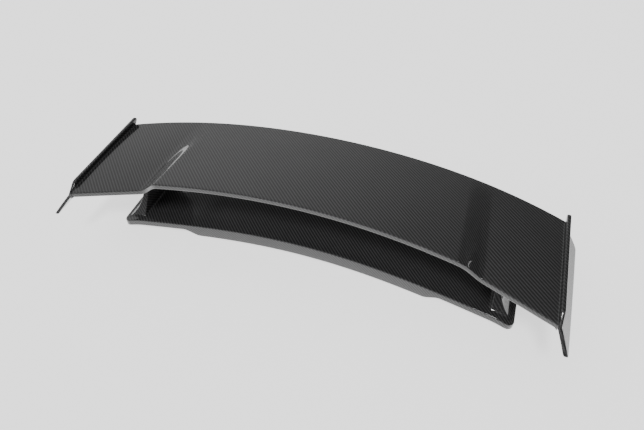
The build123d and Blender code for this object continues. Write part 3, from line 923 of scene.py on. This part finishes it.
# ---------------------------------------------------------------- endplates
class MESH_OT_wing_endplates(bpy.types.Operator):
    """Models both endplates and the bonded bead between each plate and the blade"""

    bl_idname = "mesh.wing_endplates"
    bl_label = "Endplates"
    bl_options = {"REGISTER", "UNDO"}

    def execute(self, context):
        group = settings(context)
        right = self.plate(group.endplate, group.blade)
        left = mirrored(right)
        for side, mesh in (("right", right), ("left", left)):
            obj = new_piece(context, "endplate_panel_" + side, mesh,
                            finish_of("endplate_carbon"))
            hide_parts("endplate_" + side)
        bead = self.bead(group.endplate, BladeSurface(group.blade))
        for side, mesh in (("left", mirrored(bead)), ("right", bead)):
            new_piece(context, "blade_end_bead_" + side, mesh, finish_of("blade_carbon"))
        return {"FINISHED"}

    def plate(self, sizes, blade):
        inner = blade.half_span
        corners = [(y, blade.height + rise) for y, rise in PLATE_CORNERS]
        mesh = bmesh.new()
        bmesh.ops.create_grid(mesh, x_segments=1, y_segments=1, size=1.0)
        order = sorted(mesh.verts, key=lambda v: math.atan2(v.co.y, v.co.x))
        for vert, (y, z) in zip(order, corners):
            vert.co = Vector((inner, y, z))
        by_length = sorted(mesh.verts, key=lambda v: v.co.y)
        for ends, reach in ((by_length[1:3], CENTRE_REACH),
                            ((by_length[0], by_length[3]), END_REACH)):
            bmesh.ops.bevel(mesh, geom=list(ends), affect="VERTICES", offset=reach,
                            offset_type="OFFSET", segments=8, profile=0.5, material=-1)
        made = bmesh.ops.extrude_face_region(mesh, geom=mesh.faces[:])["geom"]
        moved = [g for g in made if isinstance(g, bmesh.types.BMVert)]
        bmesh.ops.translate(mesh, verts=moved, vec=(sizes.thickness, 0, 0))
        rims = [e for e in mesh.edges if abs(e.verts[0].co.x - e.verts[1].co.x) < 1e-6]
        bmesh.ops.bevel(mesh, geom=rims, affect="EDGES", offset=sizes.edge_round,
                        offset_type="OFFSET", segments=4, profile=0.5, material=-1)
        low = corners[0][1]
        high = corners[3][1]
        for i in range(1, PLATE_ROWS):
            self.cut(mesh, (0, 0, low + (high - low) * i / PLATE_ROWS), (0, 0, 1))
        for i in range(1, PLATE_COLUMNS):
            self.cut(mesh, (0, corners[0][0] + PLATE_DEPTH * i / PLATE_COLUMNS, 0), (0, 1, 0))
        for vert in mesh.verts:
            vert.co.x += self.flare(sizes, vert.co)
        return mesh

    def cut(self, mesh, place_in, direction):
        geometry = mesh.verts[:] + mesh.edges[:] + mesh.faces[:]
        bmesh.ops.bisect_plane(mesh, geom=geometry, dist=1e-6, plane_co=place_in,
                               plane_no=direction)

    def flare(self, sizes, point):
        drop = sizes.flare_start - FLARE_BOTTOM
        share = max(0.0, (sizes.flare_start - point.z) / drop)
        along = (point.y - FLARE_FRONT_Y) / FLARE_LENGTH
        reach = sizes.flare_front + along * (sizes.flare_rear - sizes.flare_front)
        return reach * share ** FLARE_POWER

    def bead(self, sizes, surface):
        """Hollow quarter-round that follows the blade's end right round its section."""
        x = surface.z["half_span"]
        section = BladeSection(surface, x)
        upper = section.upper(BEAD_CHORD_STEPS)
        line = upper[1:] + section.lower(BEAD_CHORD_STEPS)[1:-1]
        radius = sizes.fillet
        angles = arc_steps(ARC_STEPS)

        def position(along, across):
            index = round(along * (len(line) - 1))
            before = line[max(0, index - 1)]
            after = line[min(len(line) - 1, index + 1)]
            run = (after[0] - before[0], after[1] - before[1])
            size = math.hypot(*run)
            out = (run[1] / size, -run[0] / size)
            angle = angles[round(across * (len(angles) - 1))]
            reach = radius * (1 - math.cos(angle))
            return Vector((x - radius + radius * math.sin(angle),
                           line[index][0] + out[0] * reach, line[index][1] + out[1] * reach))

        mesh = grid(len(line), len(angles), position)
        shell(mesh, BEAD_WALL, None)
        return mesh


# ---------------------------------------------------------------- studio
class SCENE_OT_wing_stage(bpy.types.Operator):
    """Adds the pale floor, the soft studio light and the camera"""

    bl_idname = "scene.wing_stage"
    bl_label = "Studio"
    bl_options = {"REGISTER", "UNDO"}

    def execute(self, context):
        self.floor(context)
        self.world(context)
        self.light(context)
        self.camera(context)
        return {"FINISHED"}

    def floor(self, context):
        mesh = bmesh.new()
        bmesh.ops.create_grid(mesh, x_segments=1, y_segments=1, size=FLOOR_HALF)
        data = bpy.data.meshes.new("studio_floor")
        mesh.to_mesh(data)
        mesh.free()
        material = fresh("studio_floor")
        n = Nodes(material)
        mottle = n.noise(n.object_coordinates(), 1.5)
        colour = tuple(settings(context).colours.floor)
        colour_of = n.blend(mottle, scaled(colour, 0.99), colour)
        n.link(colour_of, n.shader.inputs["Base Color"])
        n.link(colour_of, n.shader.inputs["Emission Color"])
        n.shader.inputs["Emission Strength"].default_value = FLOOR_GLOW
        n.shader.inputs["Roughness"].default_value = 0.7
        n.shader.inputs["Specular IOR Level"].default_value = 0.2
        data.materials.append(material)
        obj = bpy.data.objects.new("studio_floor", data)
        context.scene.collection.objects.link(obj)

    def world(self, context):
        world = bpy.data.worlds.new("studio")
        context.scene.world = world
        world.use_nodes = True
        tree = world.node_tree
        where = tree.nodes.new("ShaderNodeTexCoord").outputs["Generated"]
        split = tree.nodes.new("ShaderNodeSeparateXYZ")
        tree.links.new(where, split.inputs[0])
        ramp = self.ramp(tree, split.outputs[0], (-0.55, 0.35), (0.85, 0.16))
        rise = self.ramp(tree, split.outputs[2], (0.08, 0.55), (0.45, 1.0))
        both = tree.nodes.new("ShaderNodeMath")
        both.operation = "MULTIPLY"
        tree.links.new(ramp, both.inputs[0])
        tree.links.new(rise, both.inputs[1])
        background = tree.nodes["Background"]
        background.inputs["Color"].default_value = (1.0, 1.0, 1.0, 1.0)
        tree.links.new(both.outputs[0], background.inputs["Strength"])

    def ramp(self, tree, value, source, target):
        """Soft change of the sky's strength along one direction."""
        node = tree.nodes.new("ShaderNodeMapRange")
        node.interpolation_type = "SMOOTHSTEP"
        tree.links.new(value, node.inputs["Value"])
        for name, number in zip(("From Min", "From Max", "To Min", "To Max"), source + target):
            node.inputs[name].default_value = number
        return node.outputs[0]

    def light(self, context):
        data = bpy.data.lights.new("overhead", "SUN")
        data.energy = SUN_POWER
        data.angle = math.radians(SUN_SPREAD)
        obj = bpy.data.objects.new("overhead", data)
        context.scene.collection.objects.link(obj)
        obj.rotation_euler = Vector(SUN_TOWARDS).to_track_quat("Z", "Y").to_euler()

    def camera(self, context):
        data = bpy.data.cameras.new("camera")
        data.sensor_width = CAMERA_SENSOR
        data.lens = CAMERA_LENS
        data.clip_end = 50.0
        obj = bpy.data.objects.new("camera", data)
        context.scene.collection.objects.link(obj)
        forward = Vector(CAMERA_FORWARD).normalized()
        azimuth = math.radians(CAMERA_AZIMUTH)
        roll = math.radians(CAMERA_ROLL)
        level = Vector((math.cos(azimuth), math.sin(azimuth), 0))
        upright = level.cross(forward)
        right = level * math.cos(roll) + upright * math.sin(roll)
        above = upright * math.cos(roll) - level * math.sin(roll)
        turn = Matrix((right, above, -forward)).transposed()
        obj.rotation_euler = turn.to_euler()
        obj.location = CAMERA_PLACE
        context.scene.camera = obj


class VIEW3D_PT_rear_wing(bpy.types.Panel):
    """Sizes, colours and steps of the rear wing"""

    bl_idname = "VIEW3D_PT_rear_wing"
    bl_label = "Carbon rear wing"
    bl_space_type = "VIEW_3D"
    bl_region_type = "UI"
    bl_category = "Rear wing"

    def draw(self, context):
        layout = self.layout
        group = settings(context)
        for label, name in (("Blade", "blade"), ("Base", "base"), ("Endplates", "endplate"),
                            ("Pylons", "pylon"), ("Finish", "colours")):
            box = layout.box()
            box.label(text=label)
            sizes = getattr(group, name)
            for field in type(sizes).__annotations__:
                box.prop(sizes, field)
        for step in OPERATORS:
            layout.operator(step.bl_idname)


GROUPS = (BladeSizes, BaseSizes, EndplateSizes, PylonSizes, WingColours, WingSettings)
OPERATORS = (MESH_OT_wing_materials, MESH_OT_wing_blade, MESH_OT_wing_base, MESH_OT_wing_pylons,
             MESH_OT_wing_endplates, SCENE_OT_wing_stage)


def register():
    for item in GROUPS + OPERATORS + (VIEW3D_PT_rear_wing,):
        bpy.utils.register_class(item)
    bpy.types.Scene.rear_wing = PointerProperty(type=WingSettings)


def unregister():
    del bpy.types.Scene.rear_wing
    for item in reversed(GROUPS + OPERATORS + (VIEW3D_PT_rear_wing,)):
        bpy.utils.unregister_class(item)


def main():
    register()
    bpy.ops.mesh.wing_materials()
    bpy.ops.mesh.wing_blade()
    bpy.ops.mesh.wing_base()
    bpy.ops.mesh.wing_pylons()
    bpy.ops.mesh.wing_endplates()
    bpy.ops.scene.wing_stage()


if __name__ == "__main__":
    main()
